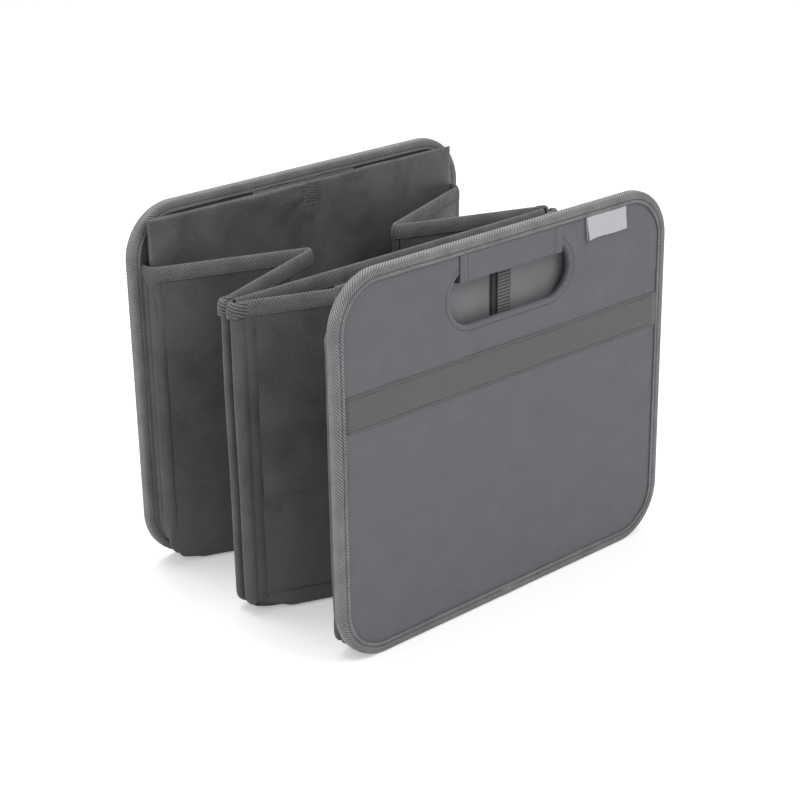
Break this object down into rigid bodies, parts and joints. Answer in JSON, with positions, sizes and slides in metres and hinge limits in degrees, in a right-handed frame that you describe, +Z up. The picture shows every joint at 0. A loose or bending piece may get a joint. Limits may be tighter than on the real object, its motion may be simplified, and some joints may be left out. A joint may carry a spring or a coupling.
{
  "type": "folding storage box",
  "caption": "Folding fabric storage box, partly folded: bound rounded end panels with handle cut-outs, concertina side walls, a middle divider and base boards folded up.",
  "frame": {"origin": "On the plane the box stands on, under the middle of its bounding box, which is the divider's middle.", "axes": "+Z is up. X runs across the end panels. Y is the way the box folds, with the panel that carries the loop strip at -Y."},
  "size_m": [0.32, 0.2264, 0.275],
  "materials": {
    "melange_cover": "matt grey melange woven polyester",
    "lining_satin": "dark coated polyester with a faint satin sheen",
    "binding_tape": "woven twill binding tape",
    "stiffener_board": "plain grey-brown board",
    "loop_tape": "napped loop tape",
    "label_satin": "light grey woven satin, blank",
    "webbing": "ribbed webbing"
  },
  "bodies": {
    "divider": {"divider_cloth": "lining_satin", "divider_board": "stiffener_board", "divider_tape": "binding_tape", "left_divider_ridge": "lining_satin", "right_divider_ridge": "lining_satin", "back_floor_cloth": "lining_satin", "front_floor_cloth": "lining_satin"},
    "back_panel": {"back_panel_cover": "melange_cover", "back_panel_board": "stiffener_board", "back_panel_lining": "lining_satin", "back_panel_binding": "binding_tape", "back_grip_wrap": "melange_cover", "back_left_seam_strip": "lining_satin", "back_right_seam_strip": "lining_satin", "back_base_cover": "lining_satin", "back_base_board": "stiffener_board", "back_pull_strap": "webbing"},
    "back_left_divider_leaf": {"back_left_divider_leaf_cloth": "lining_satin", "back_left_divider_leaf_board": "stiffener_board", "back_left_divider_leaf_tape": "binding_tape"},
    "back_left_panel_leaf": {"back_left_panel_leaf_cloth": "lining_satin", "back_left_panel_leaf_board": "stiffener_board", "back_left_panel_leaf_tape": "binding_tape", "back_left_fold_cloth": "lining_satin"},
    "back_right_divider_leaf": {"back_right_divider_leaf_cloth": "lining_satin", "back_right_divider_leaf_board": "stiffener_board", "back_right_divider_leaf_tape": "binding_tape"},
    "back_right_panel_leaf": {"back_right_panel_leaf_cloth": "lining_satin", "back_right_panel_leaf_board": "stiffener_board", "back_right_panel_leaf_tape": "binding_tape", "back_right_fold_cloth": "lining_satin"},
    "front_panel": {"front_panel_cover": "melange_cover", "front_panel_board": "stiffener_board", "front_panel_lining": "lining_satin", "front_panel_binding": "binding_tape", "front_grip_wrap": "melange_cover", "front_left_seam_strip": "lining_satin", "front_right_seam_strip": "lining_satin", "front_base_cover": "lining_satin", "front_base_board": "stiffener_board", "front_pull_strap": "webbing", "front_loop_strip": "loop_tape", "front_label_tab": "label_satin"},
    "front_left_divider_leaf": {"front_left_divider_leaf_cloth": "lining_satin", "front_left_divider_leaf_board": "stiffener_board", "front_left_divider_leaf_tape": "binding_tape"},
    "front_left_panel_leaf": {"front_left_panel_leaf_cloth": "lining_satin", "front_left_panel_leaf_board": "stiffener_board", "front_left_panel_leaf_tape": "binding_tape", "front_left_fold_cloth": "lining_satin"},
    "front_right_divider_leaf": {"front_right_divider_leaf_cloth": "lining_satin", "front_right_divider_leaf_board": "stiffener_board", "front_right_divider_leaf_tape": "binding_tape"},
    "front_right_panel_leaf": {"front_right_panel_leaf_cloth": "lining_satin", "front_right_panel_leaf_board": "stiffener_board", "front_right_panel_leaf_tape": "binding_tape", "front_right_fold_cloth": "lining_satin"}
  },
  "joints": [
    {"name": "back_left_divider_hinge", "type": "hinge", "parent": "divider", "child": "back_left_divider_leaf", "pos_m": [-0.15, 0.005, 0.12], "axis": [0, 0, 1], "range_deg": [-20, 68.9], "deforming": ["back_floor_cloth"]},
    {"name": "back_left_fold", "type": "hinge", "parent": "back_left_divider_leaf", "child": "back_left_panel_leaf", "pos_m": [-0.04448, 0.05099, 0.12], "axis": [0, 0, 1], "range_deg": [-138.2, 40.4]},
    {"name": "back_left_panel_hinge", "type": "hinge", "parent": "back_left_panel_leaf", "child": "back_panel", "pos_m": [-0.15, 0.09698, 0.12], "axis": [0, 0, 1], "range_deg": [-20.2, 69.1]},
    {"name": "back_right_panel_hinge", "type": "hinge", "parent": "back_panel", "child": "back_right_panel_leaf", "pos_m": [0.15, 0.09698, 0.12], "axis": [0, 0, 1], "range_deg": [-20.2, 69.1]},
    {"name": "back_right_divider_hinge", "type": "hinge", "parent": "divider", "child": "back_right_divider_leaf", "pos_m": [0.15, 0.005, 0.12], "axis": [0, 0, 1], "range_deg": [-69.1, 20.2]},
    {"name": "front_left_divider_hinge", "type": "hinge", "parent": "divider", "child": "front_left_divider_leaf", "pos_m": [-0.15, -0.005, 0.12], "axis": [0, 0, -1], "range_deg": [-20, 68.9], "deforming": ["front_floor_cloth"]},
    {"name": "front_left_fold", "type": "hinge", "parent": "front_left_divider_leaf", "child": "front_left_panel_leaf", "pos_m": [-0.04448, -0.05099, 0.12], "axis": [0, 0, -1], "range_deg": [-138.2, 40.4]},
    {"name": "front_left_panel_hinge", "type": "hinge", "parent": "front_left_panel_leaf", "child": "front_panel", "pos_m": [-0.15, -0.09698, 0.12], "axis": [0, 0, -1], "range_deg": [-20.2, 69.1]},
    {"name": "front_right_panel_hinge", "type": "hinge", "parent": "front_panel", "child": "front_right_panel_leaf", "pos_m": [0.15, -0.09698, 0.12], "axis": [0, 0, -1], "range_deg": [-20.2, 69.1]},
    {"name": "front_right_divider_hinge", "type": "hinge", "parent": "divider", "child": "front_right_divider_leaf", "pos_m": [0.15, -0.005, 0.12], "axis": [0, 0, -1], "range_deg": [-69.1, 20.2]}
  ],
  "couplings": [
    {"joint": "back_left_fold", "follows": "back_left_divider_hinge", "ratio": -2},
    {"joint": "back_left_panel_hinge", "follows": "back_left_divider_hinge", "ratio": 1},
    {"joint": "back_right_panel_hinge", "follows": "back_left_divider_hinge", "ratio": 1},
    {"joint": "back_right_divider_hinge", "follows": "back_left_divider_hinge", "ratio": -1},
    {"joint": "front_left_fold", "follows": "front_left_divider_hinge", "ratio": -2},
    {"joint": "front_left_panel_hinge", "follows": "front_left_divider_hinge", "ratio": 1},
    {"joint": "front_right_panel_hinge", "follows": "front_left_divider_hinge", "ratio": 1},
    {"joint": "front_right_divider_hinge", "follows": "front_left_divider_hinge", "ratio": -1}
  ]
}
